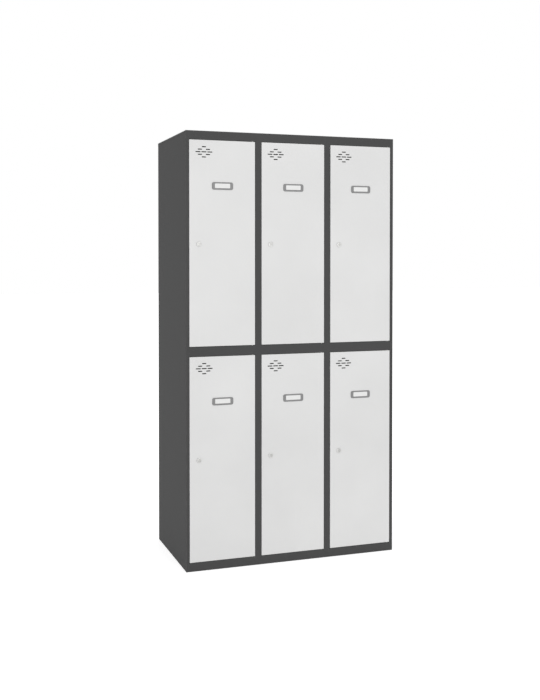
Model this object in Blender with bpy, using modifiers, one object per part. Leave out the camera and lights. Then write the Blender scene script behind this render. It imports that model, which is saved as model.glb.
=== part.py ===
"""Steel locker with three columns and two tiers of doors.

The carcass is folded sheet: a welded front frame, two sides, a top, a base, a back, two
partitions and a shelf in each column. Each door is a folded pan that turns on two pins at
its right edge. A cylinder lock near its left edge turns a cam behind the frame's brim.

Units are metres. X runs to the right, Y to the back and Z up. The origin lies on the
ground in the middle of the footprint. Compartments are named like seats: row a is the
upper tier, and columns are numbered from the left.
"""

import math
import string

import bmesh
import bpy
from mathutils import Matrix, Vector

# Overall sizes
WIDTH = 0.930
HEIGHT = 1.800
DEPTH = 0.500
COLUMNS = 3
TIERS = 2

# Sheet metal, and the gap kept between two pieces that touch
SHEET = 0.0008
FOLD_RADIUS = 0.0015
FOLD_STEPS = 2
GAP = 0.0003
OVERRUN = 0.004

# Front frame
STILE_SIDE = 0.0125
STILE_MIDDLE = 0.025
RAIL_TOP = 0.035
RAIL_MIDDLE = 0.038
RAIL_BOTTOM = 0.035
JAMB_DEPTH = 0.022
BRIM = 0.008

# Flanges of the carcass panels
PANEL_FLANGE = 0.010
PARTITION_FLANGE = 0.009
SHELF_FLANGE = 0.020

# Doors
DOOR_GAP = 0.002
DOOR_DEPTH = 0.018
DOOR_LIP = 0.010
PIVOT_INSET = 0.010
PIVOT_DEPTH = 0.0055

# Door stiffener
STIFFENER_WIDTH = 0.040
STIFFENER_DEPTH = 0.012
STIFFENER_LIP = 0.008
STIFFENER_END_GAP = 0.015

# Hinge pins
PIN_RADIUS = 0.0025
PIN_HEAD_HEIGHT = 0.002
PIN_REACH = 0.004
PIN_SIDES = 12

# Vent: a diamond of slots, each row given by its count, its pitch and its slots' length
SLOT_LENGTH = 0.0178
SLOT_TRIPLE_LENGTH = 0.0212
SLOT_HEIGHT = 0.0040
SLOT_PAIR_PITCH = 0.0342
SLOT_TRIPLE_PITCH = 0.0250
SLOT_ROW_PITCH = 0.0104
SLOT_SIDES = 8
VENT_ROWS = (
    (1, 0, SLOT_LENGTH),
    (2, SLOT_PAIR_PITCH, SLOT_LENGTH),
    (3, SLOT_TRIPLE_PITCH, SLOT_TRIPLE_LENGTH),
    (2, SLOT_PAIR_PITCH, SLOT_LENGTH),
    (1, 0, SLOT_LENGTH),
)
VENT_FROM_LEFT = 0.062
VENT_FROM_TOP = 0.0485

# Card holder
CARD_HOLDER_WIDTH = 0.090
CARD_HOLDER_HEIGHT = 0.031
CARD_HOLDER_DEPTH = 0.002
CARD_HOLDER_BAND = 0.0050
CARD_HOLDER_FOOT_BAND = 0.0065
CARD_HOLDER_END_BAND = 0.0120
CARD_HOLDER_RECESS = 0.0012
CARD_HOLDER_CORNER = 0.008
CARD_HOLDER_CORNER_STEPS = 4
CARD_HOLDER_FROM_TOP = 0.186

# Cylinder lock
LOCK_FROM_LEFT = 0.040
LOCK_FROM_TOP = 0.424
LOCK_COLLAR_RADIUS = 0.010
LOCK_COLLAR_DEPTH = 0.0025
LOCK_COLLAR_CHAMFER = 0.0008
LOCK_BARREL_RADIUS = 0.008
LOCK_NUT_RADIUS = 0.012
LOCK_NUT_DEPTH = 0.004
LOCK_SIDES = 20
PLUG_RADIUS = 0.006
PLUG_SINK = 0.0004
KEYWAY_WIDTH = 0.0012
KEYWAY_HEIGHT = 0.007
KEYWAY_DEPTH = 0.003
CAM_REACH_PAST_JAMB = 0.009
CAM_WIDTH = 0.016
CAM_THICKNESS = 0.0025
CAM_CLEARANCE = 0.0025
CAM_STANDOFF = 0.0005
CAM_SIDES = 12

# Hanging rail
RAIL_TUBE_RADIUS = 0.009
RAIL_END_RADIUS = 0.016
RAIL_END_THICKNESS = 0.002
RAIL_DROP = 0.060
RAIL_SIDES = 14

# Places that follow from the sizes above
PROUD = max(CARD_HOLDER_DEPTH, LOCK_COLLAR_DEPTH) + GAP
FRONT = -(DEPTH + PROUD) / 2 + PROUD
BACK = FRONT + DEPTH
OPENING_WIDTH = (WIDTH - 2 * STILE_SIDE - (COLUMNS - 1) * STILE_MIDDLE) / COLUMNS
OPENING_HEIGHT = (HEIGHT - RAIL_TOP - RAIL_BOTTOM - (TIERS - 1) * RAIL_MIDDLE) / TIERS
DOOR_WIDTH = OPENING_WIDTH - 2 * DOOR_GAP
DOOR_HEIGHT = OPENING_HEIGHT - 2 * DOOR_GAP
BRIM_BACK = FRONT + JAMB_DEPTH + SHEET
BACK_PANEL_FRONT = BACK - 2 * SHEET - GAP
HOUSING_DEPTH = JAMB_DEPTH + SHEET + CAM_CLEARANCE - CAM_STANDOFF
PIN_HEAD_RADIUS = PIVOT_DEPTH - FOLD_RADIUS - GAP
CAM_REACH = LOCK_FROM_LEFT + DOOR_GAP + CAM_REACH_PAST_JAMB

RIGHT_ANGLE = math.pi / 2
SMOOTH_ANGLE = math.radians(40)
AXIS_MERGE = 0.0001
SIDES = {
    "left": Vector((-1, 0, 0)),
    "right": Vector((1, 0, 0)),
    "front": Vector((0, -1, 0)),
    "back": Vector((0, 1, 0)),
    "bottom": Vector((0, 0, -1)),
    "top": Vector((0, 0, 1)),
}
OPPOSITE = {
    "left": "right",
    "right": "left",
    "front": "back",
    "back": "front",
    "bottom": "top",
    "top": "bottom",
}


def clear_scene():
    """Remove whatever the scene holds."""
    for old in list(bpy.data.objects):
        bpy.data.objects.remove(old, do_unlink=True)


def new_collection(name):
    """Add a collection to the scene."""
    collection = bpy.data.collections.new(name)
    bpy.context.scene.collection.children.link(collection)
    return collection


def new_material(name, colour, roughness, metallic):
    """Make a plain material with a colour, a roughness and a metallic value."""
    made = bpy.data.materials.new(name)
    made.use_nodes = True
    shader = made.node_tree.nodes["Principled BSDF"]
    shader.inputs["Base Color"].default_value = (*colour, 1)
    shader.inputs["Roughness"].default_value = roughness
    shader.inputs["Metallic"].default_value = metallic
    return made


clear_scene()
PARTS = new_collection("locker")
CUTTERS = new_collection("cutters")
BODY_PAINT = new_material("anthracite_paint", (0.085, 0.085, 0.088), 0.5, 0.0)
DOOR_PAINT = new_material("light_grey_paint", (0.73, 0.73, 0.72), 0.45, 0.0)
ZINC = new_material("zinc_plate", (0.62, 0.62, 0.60), 0.35, 1.0)
CHROME = new_material("chrome", (0.75, 0.75, 0.76), 0.15, 1.0)
HOLDER_GREY = new_material("card_holder_grey", (0.32, 0.32, 0.32), 0.4, 0.0)


def add_piece(name, mesh, finish, location=(0, 0, 0), rotation=(0, 0, 0), parent=None):
    """Add one piece of the locker to the scene."""
    piece = bpy.data.objects.new(name, mesh)
    PARTS.objects.link(piece)
    piece.location = location
    piece.rotation_euler = rotation
    piece.parent = parent
    piece.data.materials.clear()
    piece.data.materials.append(finish)
    return piece


def add_empty(name, location, parent=None):
    """Add an empty on a joint's axis."""
    empty = bpy.data.objects.new(name, None)
    PARTS.objects.link(empty)
    empty.location = location
    empty.parent = parent
    return empty


def add_cutter(name, mesh, location=(0, 0, 0), rotation=(0, 0, 0), parent=None):
    """Add a shape that is only used to cut or join others."""
    cutter = bpy.data.objects.new(name, mesh)
    CUTTERS.objects.link(cutter)
    cutter.location = location
    cutter.rotation_euler = rotation
    cutter.parent = parent
    cutter.hide_render = True
    cutter.display_type = "WIRE"
    return cutter


def combine(piece, operation, other):
    """Cut or join a piece with another shape."""
    step = piece.modifiers.new(other.name, "BOOLEAN")
    step.operation = operation
    step.solver = "EXACT"
    step.object = other


def thicken(piece):
    """Give a folded surface the sheet's thickness, on its hidden side."""
    wall = piece.modifiers.new("Sheet", "SOLIDIFY")
    wall.thickness = SHEET
    wall.offset = -1
    wall.use_even_offset = True


def mesh_from(bm, name):
    """Turn a bmesh into a mesh."""
    mesh = bpy.data.meshes.new(name)
    bm.to_mesh(mesh)
    bm.free()
    return mesh


def box_bmesh(low, high):
    """Return a box between two corners."""
    low = Vector(low)
    high = Vector(high)
    place = Matrix.Translation((low + high) / 2) @ Matrix.Diagonal((*(high - low), 1))
    bm = bmesh.new()
    bmesh.ops.create_cube(bm, size=1, matrix=place)
    return bm


def faces_towards(bm, side):
    """List the faces whose outer side looks one way."""
    return [face for face in bm.faces if face.normal.dot(SIDES[side]) > math.cos(SMOOTH_ANGLE / 2)]


def round_folds(bm, edges):
    """Round the edges where the sheet is folded."""
    bmesh.ops.bevel(
        bm, geom=edges, offset=FOLD_RADIUS, offset_type="OFFSET", segments=FOLD_STEPS,
        profile=0.5, affect="EDGES", clamp_overlap=True)


def folded_box(name, low, high, open_sides, lip=0):
    """Return a sheet folded round a box, with some of the box's sides left open.

    The sheet's main face lies opposite the first open side, and the folds round it are
    rounded. A lip is turned in round that open side.
    """
    bm = box_bmesh(low, high)
    open_edges = set()
    for side in open_sides:
        for face in faces_towards(bm, side):
            open_edges.update(face.edges)
    main_face = faces_towards(bm, OPPOSITE[open_sides[0]])[0]
    round_folds(bm, [edge for edge in main_face.edges if edge not in open_edges])
    bm.normal_update()
    if lip:
        bmesh.ops.inset_individual(bm, faces=faces_towards(bm, open_sides[0])[:1], thickness=lip)
        rim = max(faces_towards(bm, open_sides[0]), key=lambda face: face.calc_area())
        bmesh.ops.delete(bm, geom=[rim], context="FACES")
    else:
        unwanted = set()
        for side in open_sides:
            unwanted.add(max(faces_towards(bm, side), key=lambda face: face.calc_area()))
        bmesh.ops.delete(bm, geom=list(unwanted), context="FACES")
    return mesh_from(bm, name)


def turned(name, profile, sides):
    """Return a shape turned about Z. The profile runs down its outer side."""
    mesh = bpy.data.meshes.new(name + "_profile")
    points = [(radius, 0, height) for radius, height in profile]
    links = [(index, index + 1) for index in range(len(points) - 1)]
    if profile[0][0] > 0:
        links.append((len(points) - 1, 0))
    mesh.from_pydata(points, links, [])
    lathe = bpy.data.objects.new(name + "_profile", mesh)
    bpy.context.scene.collection.objects.link(lathe)
    screw = lathe.modifiers.new("Turn", "SCREW")
    screw.steps = sides
    screw.render_steps = sides
    screw.use_merge_vertices = True
    screw.merge_threshold = AXIS_MERGE
    depsgraph = bpy.context.evaluated_depsgraph_get()
    made = bpy.data.meshes.new_from_object(lathe.evaluated_get(depsgraph))
    made.name = name
    bpy.data.objects.remove(lathe, do_unlink=True)
    made.shade_smooth()
    made.set_sharp_from_angle(angle=SMOOTH_ANGLE)
    return made


def capsule_bmesh(length, height, depth, sides, centre=(0, 0, 0)):
    """Return a flat bar with round ends, long in X and as deep as depth in Y."""
    bm = bmesh.new()
    turn = Matrix.Rotation(RIGHT_ANGLE, 4, "X") @ Matrix.Rotation(math.pi / sides, 4, "Z")
    bmesh.ops.create_cone(
        bm, cap_ends=True, segments=sides, radius1=height / 2, radius2=height / 2,
        depth=depth, matrix=turn)
    for vert in bm.verts:
        vert.co.x += math.copysign((length - height) / 2, vert.co.x)
        vert.co += Vector(centre)
    return bm


def opening_left(column):
    """Place of an opening's left edge."""
    return -WIDTH / 2 + STILE_SIDE + column * (OPENING_WIDTH + STILE_MIDDLE)


def opening_top(tier):
    """Place of an opening's upper edge."""
    return HEIGHT - RAIL_TOP - tier * (OPENING_HEIGHT + RAIL_MIDDLE)


def compartment_name(tier, column):
    """Name a compartment by its row's letter and its column's number."""
    return string.ascii_lowercase[tier] + str(column + 1)


def wall_right_of(column):
    """Place of the wall face at the left of a column, seen from inside the column."""
    if column == 0:
        return -WIDTH / 2 + SHEET
    return opening_left(column) - STILE_MIDDLE / 2 + SHEET / 2


def wall_left_of(column):
    """Place of the wall face at the right of a column, seen from inside the column."""
    if column == COLUMNS - 1:
        return WIDTH / 2 - SHEET
    return opening_left(column + 1) - STILE_MIDDLE / 2 - SHEET / 2


def front_frame_mesh():
    """Return the frame's folded surface: a face with openings, returns and brims."""
    xs = [-WIDTH / 2]
    for column in range(COLUMNS):
        xs += [opening_left(column), opening_left(column) + OPENING_WIDTH]
    xs.append(WIDTH / 2)
    zs = [0]
    for tier in reversed(range(TIERS)):
        zs += [opening_top(tier) - OPENING_HEIGHT, opening_top(tier)]
    zs.append(HEIGHT)
    bm = bmesh.new()
    bmesh.ops.create_grid(bm, x_segments=len(xs) - 1, y_segments=len(zs) - 1, size=1)
    holes = []
    for face in bm.faces:
        centre = face.calc_center_median()
        across = int((centre.x + 1) / 2 * (len(xs) - 1))
        up = int((centre.y + 1) / 2 * (len(zs) - 1))
        if across % 2 and up % 2:
            holes.append(face)
    for vert in bm.verts:
        across = round((vert.co.x + 1) / 2 * (len(xs) - 1))
        up = round((vert.co.y + 1) / 2 * (len(zs) - 1))
        vert.co = (xs[across], FRONT, zs[up])
    rim = [edge for edge in bm.edges if edge.is_boundary]
    extruded = bmesh.ops.extrude_edge_only(bm, edges=rim)["geom"]
    flange_verts = [item for item in extruded if isinstance(item, bmesh.types.BMVert)]
    bmesh.ops.translate(bm, vec=(0, PANEL_FLANGE, 0), verts=flange_verts)
    pushed = bmesh.ops.extrude_discrete_faces(bm, faces=holes)["faces"]
    bmesh.ops.translate(
        bm, vec=(0, JAMB_DEPTH, 0), verts=list({vert for face in pushed for vert in face.verts}))
    bmesh.ops.inset_individual(bm, faces=pushed, thickness=BRIM)
    bmesh.ops.delete(bm, geom=pushed, context="FACES")
    bmesh.ops.recalc_face_normals(bm, faces=bm.faces)
    face_plane = [face for face in bm.faces if abs(face.calc_center_median().y - FRONT) < GAP]
    if face_plane[0].normal.y > 0:
        bmesh.ops.reverse_faces(bm, faces=bm.faces)
    bm.normal_update()
    folds = []
    for edge in bm.edges:
        at_front = all(abs(vert.co.y - FRONT) < GAP for vert in edge.verts)
        if at_front and len(edge.link_faces) == 2 and edge.calc_face_angle() > SMOOTH_ANGLE:
            folds.append(edge)
    round_folds(bm, folds)
    return mesh_from(bm, "front_frame")


def build_carcass():
    """Build the pieces that stand still."""
    panel_front = FRONT + PANEL_FLANGE + GAP
    side_top = HEIGHT - PANEL_FLANGE - GAP
    inner_half = WIDTH / 2 - SHEET - GAP

    frame = add_piece("front_frame", front_frame_mesh(), BODY_PAINT)
    thicken(frame)

    left = folded_box(
        "left_side_panel", (-WIDTH / 2, panel_front, 0),
        (-WIDTH / 2 + PANEL_FLANGE, BACK, side_top), ("right", "top", "front"))
    thicken(add_piece("left_side_panel", left, BODY_PAINT))
    right = folded_box(
        "right_side_panel", (WIDTH / 2 - PANEL_FLANGE, panel_front, 0),
        (WIDTH / 2, BACK, side_top), ("left", "top", "front"))
    thicken(add_piece("right_side_panel", right, BODY_PAINT))

    top = folded_box(
        "top_panel", (-WIDTH / 2, panel_front, HEIGHT - PANEL_FLANGE),
        (WIDTH / 2, BACK, HEIGHT), ("bottom", "front"))
    thicken(add_piece("top_panel", top, BODY_PAINT))

    base = folded_box(
        "base_panel", (-inner_half, BRIM_BACK + GAP, SHEET + GAP),
        (inner_half, BACK_PANEL_FRONT - GAP, RAIL_BOTTOM), ("bottom",))
    thicken(add_piece("base_panel", base, BODY_PAINT))

    back = box_bmesh(
        (-inner_half, BACK_PANEL_FRONT, SHEET + GAP),
        (inner_half, BACK_PANEL_FRONT + SHEET, HEIGHT - SHEET - GAP))
    add_piece("back_panel", mesh_from(back, "back_panel"), BODY_PAINT)

    for number in range(1, COLUMNS):
        wall = wall_right_of(number)
        partition = folded_box(
            f"partition_{number}", (wall - PARTITION_FLANGE, FRONT + SHEET + GAP, RAIL_BOTTOM + GAP),
            (wall, BACK_PANEL_FRONT - GAP, HEIGHT - SHEET - GAP),
            ("left", "top", "bottom", "back"))
        thicken(add_piece(f"partition_{number}", partition, BODY_PAINT))

    for tier in range(TIERS - 1):
        deck = opening_top(tier) - OPENING_HEIGHT
        for column in range(COLUMNS):
            name = f"shelf_{column + 1 + tier * COLUMNS}"
            right_side = wall_left_of(column) - GAP
            left_side = wall_right_of(column) + GAP
            shelf = folded_box(
                name, (left_side, BRIM_BACK + GAP, deck - SHELF_FLANGE),
                (right_side, BACK_PANEL_FRONT - GAP, deck), ("bottom",))
            thicken(add_piece(name, shelf, BODY_PAINT))
    return frame


def vent_mesh():
    """Return the slots of a vent, one closed bar for each slot."""
    joined = bmesh.new()
    depth = 2 * OVERRUN
    for row, (count, pitch, length) in enumerate(VENT_ROWS):
        height = ((len(VENT_ROWS) - 1) / 2 - row) * SLOT_ROW_PITCH
        for index in range(count):
            across = (index - (count - 1) / 2) * pitch
            slot = capsule_bmesh(length, SLOT_HEIGHT, depth, SLOT_SIDES, (across, 0, height))
            mesh = mesh_from(slot, "slot")
            joined.from_mesh(mesh)
            bpy.data.meshes.remove(mesh)
    return mesh_from(joined, "vent_slots")


def card_holder_mesh():
    """Return a plate with round corners and a raised band round its recess.

    The band is narrowest at the top, wider at the bottom and widest at the two ends.
    """
    bm = box_bmesh(
        (-CARD_HOLDER_WIDTH / 2, -CARD_HOLDER_DEPTH, -CARD_HOLDER_HEIGHT / 2),
        (CARD_HOLDER_WIDTH / 2, 0, CARD_HOLDER_HEIGHT / 2))
    corners = []
    for edge in bm.edges:
        first, second = edge.verts
        if abs(first.co.y - second.co.y) > CARD_HOLDER_DEPTH / 2:
            corners.append(edge)
    bmesh.ops.bevel(
        bm, geom=corners, offset=CARD_HOLDER_CORNER, offset_type="OFFSET",
        segments=CARD_HOLDER_CORNER_STEPS, profile=0.5, affect="EDGES", clamp_overlap=True)
    bm.normal_update()
    window = faces_towards(bm, "front")
    bmesh.ops.inset_individual(bm, faces=window, thickness=CARD_HOLDER_BAND)
    for vert in window[0].verts:
        vert.co.x -= math.copysign(CARD_HOLDER_END_BAND - CARD_HOLDER_BAND, vert.co.x)
        if vert.co.z < 0:
            vert.co.z += CARD_HOLDER_FOOT_BAND - CARD_HOLDER_BAND
    pushed = bmesh.ops.extrude_discrete_faces(bm, faces=window)["faces"]
    bmesh.ops.translate(bm, vec=(0, CARD_HOLDER_RECESS, 0), verts=pushed[0].verts[:])
    return mesh_from(bm, "card_holder")


def pin_mesh():
    """Return a riveted pin: head, shank, bearing collar and the end that the door turns on.

    Height zero is the frame's face that looks at the door, and the door lies below it.
    """
    head_low = SHEET + GAP
    collar_low = -(DOOR_GAP - GAP)
    end = -(DOOR_GAP + SHEET + PIN_REACH)
    profile = [
        (0, head_low + PIN_HEAD_HEIGHT),
        (PIN_HEAD_RADIUS, head_low + PIN_HEAD_HEIGHT),
        (PIN_HEAD_RADIUS, head_low),
        (PIN_RADIUS, head_low),
        (PIN_RADIUS, -GAP),
        (PIN_HEAD_RADIUS, -GAP),
        (PIN_HEAD_RADIUS, collar_low),
        (PIN_RADIUS, collar_low),
        (PIN_RADIUS, end),
        (0, end),
    ]
    return turned("hinge_pin", profile, PIN_SIDES)


def housing_mesh():
    """Return the lock's collar, barrel and nut. The door's face is at height zero."""
    bore = PLUG_RADIUS + GAP
    nut_front = -(SHEET + GAP)
    profile = [
        (bore, LOCK_COLLAR_DEPTH + GAP),
        (LOCK_COLLAR_RADIUS - LOCK_COLLAR_CHAMFER, LOCK_COLLAR_DEPTH + GAP),
        (LOCK_COLLAR_RADIUS, LOCK_COLLAR_DEPTH + GAP - LOCK_COLLAR_CHAMFER),
        (LOCK_COLLAR_RADIUS, GAP),
        (LOCK_BARREL_RADIUS, GAP),
        (LOCK_BARREL_RADIUS, nut_front),
        (LOCK_NUT_RADIUS, nut_front),
        (LOCK_NUT_RADIUS, nut_front - LOCK_NUT_DEPTH),
        (LOCK_BARREL_RADIUS, nut_front - LOCK_NUT_DEPTH),
        (LOCK_BARREL_RADIUS, -HOUSING_DEPTH),
        (bore, -HOUSING_DEPTH),
    ]
    return turned("lock_housing", profile, LOCK_SIDES)


def plug_mesh():
    """Return the lock's plug, which ends at the back of the cam."""
    top = LOCK_COLLAR_DEPTH + GAP - PLUG_SINK
    end = -(HOUSING_DEPTH + CAM_STANDOFF + CAM_THICKNESS)
    profile = [(0, top), (PLUG_RADIUS, top), (PLUG_RADIUS, end), (0, end)]
    return turned("lock_plug", profile, LOCK_SIDES)


def cam_mesh():
    """Return the cam, which points down from the plug."""
    length = CAM_REACH + CAM_WIDTH / 2
    centre = (-(CAM_REACH - CAM_WIDTH / 2) / 2, 0, 0)
    bm = capsule_bmesh(length, CAM_WIDTH, CAM_THICKNESS, CAM_SIDES, centre)
    downwards = Matrix.Rotation(-RIGHT_ANGLE, 3, "Y")
    bmesh.ops.rotate(bm, cent=(0, 0, 0), matrix=downwards, verts=bm.verts)
    return mesh_from(bm, "cam")


def hanging_rail_mesh(length):
    """Return a rail with a round plate at each end, turned about Z."""
    half = length / 2
    profile = [
        (0, half),
        (RAIL_END_RADIUS, half),
        (RAIL_END_RADIUS, half - RAIL_END_THICKNESS),
        (RAIL_TUBE_RADIUS, half - RAIL_END_THICKNESS),
        (RAIL_TUBE_RADIUS, -half + RAIL_END_THICKNESS),
        (RAIL_END_RADIUS, -half + RAIL_END_THICKNESS),
        (RAIL_END_RADIUS, -half),
        (0, -half),
    ]
    return turned("hanging_rail", profile, RAIL_SIDES)


def build_compartment(tier, column, shared, frame):
    """Build a compartment's door, lock, hinge pins and hanging rail."""
    name = compartment_name(tier, column)
    top = opening_top(tier)
    bottom = top - OPENING_HEIGHT
    door_bottom = bottom + DOOR_GAP
    pivot_x = opening_left(column) + OPENING_WIDTH - DOOR_GAP - PIVOT_INSET
    pivot_y = FRONT + PIVOT_DEPTH
    door_left = -(DOOR_WIDTH - PIVOT_INSET)

    pivot = add_empty(f"hinge_axis_{name}", (pivot_x, pivot_y, door_bottom))
    door = add_piece(f"door_{name}", shared["door"], DOOR_PAINT, parent=pivot)
    thicken(door)
    vent = add_cutter(
        f"vent_cutter_{name}", shared["vent"],
        (door_left + VENT_FROM_LEFT, -PIVOT_DEPTH, DOOR_HEIGHT - VENT_FROM_TOP), parent=pivot)
    combine(door, "DIFFERENCE", vent)
    lock_place = (door_left + LOCK_FROM_LEFT, -PIVOT_DEPTH, DOOR_HEIGHT - LOCK_FROM_TOP)
    facing = (RIGHT_ANGLE, 0, 0)
    lock_hole = add_cutter(
        f"lock_hole_cutter_{name}", shared["lock_hole"], lock_place, facing, pivot)
    combine(door, "DIFFERENCE", lock_hole)
    pin_hole = add_cutter(
        f"pin_hole_cutter_{name}", shared["pin_hole"], (0, 0, DOOR_HEIGHT / 2), parent=pivot)
    combine(door, "DIFFERENCE", pin_hole)
    combine(frame, "DIFFERENCE", pin_hole)

    stiffener = add_piece(f"door_stiffener_{name}", shared["stiffener"], DOOR_PAINT, parent=pivot)
    thicken(stiffener)
    holder_place = (
        door_left + DOOR_WIDTH / 2, -PIVOT_DEPTH - GAP, DOOR_HEIGHT - CARD_HOLDER_FROM_TOP)
    add_piece(
        f"card_holder_{name}", shared["card_holder"], HOLDER_GREY, holder_place, parent=pivot)
    add_piece(f"lock_housing_{name}", shared["housing"], CHROME, lock_place, facing, pivot)

    lock_axis = add_empty(f"lock_axis_{name}", lock_place, pivot)
    plug = add_piece(f"lock_cam_{name}", shared["plug"], ZINC, rotation=facing, parent=lock_axis)
    cam_middle = HOUSING_DEPTH + CAM_STANDOFF + CAM_THICKNESS / 2
    cam = add_cutter(f"cam_shape_{name}", shared["cam"], (0, cam_middle, 0), parent=lock_axis)
    combine(plug, "UNION", cam)
    keyway = add_cutter(f"keyway_cutter_{name}", shared["keyway"], parent=lock_axis)
    combine(plug, "DIFFERENCE", keyway)

    add_piece(f"hinge_pin_top_{name}", shared["pin"], ZINC, (pivot_x, pivot_y, top))
    add_piece(
        f"hinge_pin_bottom_{name}", shared["pin"], ZINC, (pivot_x, pivot_y, bottom),
        (math.pi, 0, 0))

    rail_left = wall_right_of(column) + GAP
    rail_right = wall_left_of(column) - GAP
    rail_place = (
        (rail_left + rail_right) / 2, (BRIM_BACK + BACK_PANEL_FRONT) / 2, top - RAIL_DROP)
    rail = hanging_rail_mesh(rail_right - rail_left)
    add_piece(f"hanging_rail_{name}", rail, CHROME, rail_place, (0, RIGHT_ANGLE, 0))


def build_shared():
    """Make the meshes that all compartments share."""
    door_left = -(DOOR_WIDTH - PIVOT_INSET)
    stiffener_middle = door_left + DOOR_WIDTH / 2
    face_back = -PIVOT_DEPTH + SHEET + GAP
    hole_reach = DOOR_HEIGHT + 2 * (DOOR_GAP + SHEET + OVERRUN)
    hole_radius = PIN_RADIUS + GAP
    bore_radius = LOCK_BARREL_RADIUS + GAP
    keyway_front = -(LOCK_COLLAR_DEPTH + GAP + OVERRUN)
    keyway_back = -(LOCK_COLLAR_DEPTH + GAP - PLUG_SINK - KEYWAY_DEPTH)
    return {
        "door": folded_box(
            "door", (door_left, -PIVOT_DEPTH, 0),
            (PIVOT_INSET, DOOR_DEPTH - PIVOT_DEPTH, DOOR_HEIGHT), ("back",), DOOR_LIP),
        "stiffener": folded_box(
            "door_stiffener",
            (stiffener_middle - STIFFENER_WIDTH / 2, face_back, STIFFENER_END_GAP),
            (stiffener_middle + STIFFENER_WIDTH / 2, face_back + STIFFENER_DEPTH,
             DOOR_HEIGHT - STIFFENER_END_GAP),
            ("front",), STIFFENER_LIP),
        "vent": vent_mesh(),
        "lock_hole": turned(
            "lock_hole",
            [(0, OVERRUN), (bore_radius, OVERRUN), (bore_radius, -OVERRUN), (0, -OVERRUN)],
            LOCK_SIDES),
        "pin_hole": turned(
            "pin_hole",
            [(0, hole_reach / 2), (hole_radius, hole_reach / 2), (hole_radius, -hole_reach / 2),
             (0, -hole_reach / 2)],
            PIN_SIDES),
        "card_holder": card_holder_mesh(),
        "housing": housing_mesh(),
        "plug": plug_mesh(),
        "cam": cam_mesh(),
        "keyway": mesh_from(
            box_bmesh(
                (-KEYWAY_WIDTH / 2, keyway_front, -KEYWAY_HEIGHT / 2),
                (KEYWAY_WIDTH / 2, keyway_back, KEYWAY_HEIGHT / 2)),
            "keyway"),
        "pin": pin_mesh(),
    }


def main():
    """Build the whole locker."""
    frame = build_carcass()
    shared = build_shared()
    for tier in range(TIERS):
        for column in range(COLUMNS):
            build_compartment(tier, column, shared, frame)


main()
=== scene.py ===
"""Looks of the steel locker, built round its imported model.

Each class makes one sub-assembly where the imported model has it. Units are metres, X runs
to the right, Y to the back and Z up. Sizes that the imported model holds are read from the
boxes of its nodes, and the finer ones are fields of the classes.
"""

from __future__ import annotations

import logging
import math
from collections.abc import Callable, Iterable, Mapping, Sequence
from dataclasses import dataclass
from enum import Enum
from functools import cached_property
from typing import Any, ClassVar

import bmesh
import bpy
from bmesh.types import BMEdge, BMesh, BMFace, BMVert
from bpy.types import ID, Material, Mesh, NodeSocket, NodeTree, Object
from mathutils import Matrix, Vector


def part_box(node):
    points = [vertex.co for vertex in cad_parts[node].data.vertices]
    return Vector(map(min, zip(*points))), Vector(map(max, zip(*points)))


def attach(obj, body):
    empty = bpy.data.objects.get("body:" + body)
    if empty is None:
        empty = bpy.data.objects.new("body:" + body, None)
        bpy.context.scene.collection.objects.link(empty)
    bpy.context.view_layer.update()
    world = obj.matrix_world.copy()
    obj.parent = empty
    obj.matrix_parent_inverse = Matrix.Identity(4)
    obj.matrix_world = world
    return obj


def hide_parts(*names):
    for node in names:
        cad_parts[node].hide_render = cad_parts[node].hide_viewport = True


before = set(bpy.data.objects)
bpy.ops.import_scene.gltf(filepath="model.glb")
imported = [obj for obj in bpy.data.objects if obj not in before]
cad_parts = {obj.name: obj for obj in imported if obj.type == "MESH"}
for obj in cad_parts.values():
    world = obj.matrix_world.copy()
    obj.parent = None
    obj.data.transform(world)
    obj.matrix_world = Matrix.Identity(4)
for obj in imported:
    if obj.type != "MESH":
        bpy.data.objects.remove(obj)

LOG = logging.getLogger("locker")
SEATS = ("a1", "a2", "a3", "b1", "b2", "b3")
SHELVES = ("shelf_1", "shelf_2", "shelf_3")
CARCASS = "carcass"
# The face attribute that marks folds, and the map of turned parts.
FOLD = "fold"
TURNED = "turned"
SMOOTH_ANGLE = math.radians(35)
QUARTER = math.pi / 2
DOOR_GAP = 0.002
PIN_HOLE = 0.0028
# A round end's radius as a share of its half width. At 1, two of its points would meet.
ROUND_END = 0.999
# Sides of a nut or bolt head, pieces in a thread's turn, and sides of its ridge.
HEXAGON = 6
THREAD_STEPS = 18
RIDGE_SIDES = 4
Pair = tuple[float, float]
Triple = tuple[float, float, float]
Outline = Sequence[Pair]


class Side(Enum):
    """The six sides of a box, by the way that each one looks."""

    LEFT = (-1, 0, 0)
    RIGHT = (1, 0, 0)
    FRONT = (0, -1, 0)
    BACK = (0, 1, 0)
    BOTTOM = (0, 0, -1)
    TOP = (0, 0, 1)

    @property
    def way(self) -> Vector:
        """The side's direction."""
        return Vector(self.value)

    def faces(self, bm: BMesh) -> list[BMFace]:
        """List the faces of a mesh that look this way."""
        least = math.cos(SMOOTH_ANGLE / 2)
        return [face for face in bm.faces if face.normal.dot(self.way) > least]


class Slot(Enum):
    """The record's material slots."""

    BODY = "body_paint"
    DOOR = "door_paint"
    HOLDER = "holder"
    LOCK = "lock_chrome"
    ZINC = "zinc"
    RAIL = "rail_chrome"


# Node trees


def maths(operation: str, reflected: bool = False) -> Callable[[Sock, Sock | float], Sock]:
    """Write an operator that adds a Math node.

    Args:
        operation: The node's operation.
        reflected: True where the socket stands on the right.

    Returns:
        The operator.
    """

    def operator(self: Sock, other: Sock | float) -> Sock:
        """Add the node."""
        first, second = (other, self) if reflected else (self, other)
        return self.tree.node("ShaderNodeMath", {0: first, 1: second}, operation=operation)

    return operator


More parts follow.
